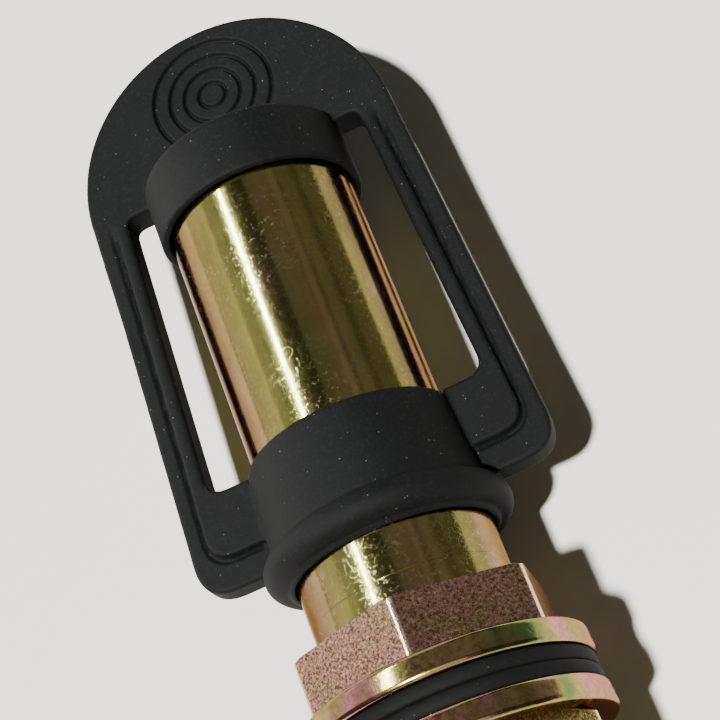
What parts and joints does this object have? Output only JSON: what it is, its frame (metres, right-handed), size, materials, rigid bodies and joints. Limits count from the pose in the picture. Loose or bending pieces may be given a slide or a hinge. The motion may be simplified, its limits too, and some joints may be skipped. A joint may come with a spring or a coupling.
{
  "type": "beacon mounting spigot",
  "caption": "Steel plug-in spigot with a hexagon base, threaded stem, sealing washers, nut and sprung centre contact, under a rubber cap on two straps.",
  "frame": {"origin": "on the spigot's axis, in the plane between the two sealing washers where the bracket is clamped", "axes": "+Y along the axis towards the tip of the tube, +Z the face of the rubber strap with the thumb rings, +X across the strap"},
  "size_m": [0.0454, 0.1432, 0.034],
  "materials": {
    "yellow_zinc": "yellow passivated zinc, semi-gloss",
    "cap_rubber": "matt moulded rubber",
    "seal_rubber": "matt rubber",
    "nylon": "satin",
    "sleeve_plastic": "satin",
    "brass": "satin",
    "spring_steel": "satin"
  },
  "bodies": {
    "root": {"spigot_tube": "yellow_zinc", "hex_base": "yellow_zinc", "upper_washer": "yellow_zinc", "upper_seal": "seal_rubber", "tip_insulator": "nylon", "insulator_circlip": "spring_steel", "contact_spring": "spring_steel", "spring_cup": "brass", "contact_rod": "brass", "insulating_sleeve": "sleeve_plastic", "base_bush": "nylon", "stem_bush": "nylon", "terminal_washer": "brass", "blade_terminal": "brass", "terminal_lock_washer": "spring_steel", "terminal_nut": "brass", "retaining_collar": "cap_rubber"},
    "straps": {"left_strap": "cap_rubber", "right_strap": "cap_rubber"},
    "cap": {"arch_grip": "cap_rubber", "cap_sleeve": "cap_rubber"},
    "clamp_washers": {"lower_washer": "yellow_zinc", "lower_seal": "seal_rubber"},
    "nut": {"clamp_nut": "yellow_zinc"},
    "contact": {"contact_button": "brass"}
  },
  "joints": [
    {"name": "cap_swing", "type": "hinge", "parent": "root", "child": "straps", "pos_m": [0, 0.0385, 0], "axis": [1, 0, 0], "range_deg": [0, 115], "stiffness_Nm_per_rad": 0.06, "springref_deg": -34.38, "deforming": ["left_strap", "right_strap", "cap_sleeve"]},
    {"name": "cap_pull", "type": "slide", "parent": "straps", "child": "cap", "axis": [0, 1, 0], "range_m": [0, 0.014], "stiffness_N_per_m": 1200, "deforming": ["left_strap", "right_strap", "cap_sleeve"]},
    {"name": "nut_turn", "type": "hinge", "parent": "clamp_washers", "child": "nut", "pos_m": [0, -0.012, 0], "axis": [0, -1, 0], "range_deg": [0, 1440]},
    {"name": "nut_back_off", "type": "slide", "parent": "root", "child": "clamp_washers", "axis": [0, -1, 0], "range_m": [0, 0.0061]},
    {"name": "contact_press", "type": "slide", "parent": "root", "child": "contact", "axis": [0, -1, 0], "range_m": [0, 0.002], "stiffness_N_per_m": 600, "springref_m": -0.004, "deforming": ["contact_spring"]}
  ],
  "couplings": [
    {"joint": "nut_back_off", "follows": "nut_turn", "m_per_rad": 0.00023873}
  ]
}
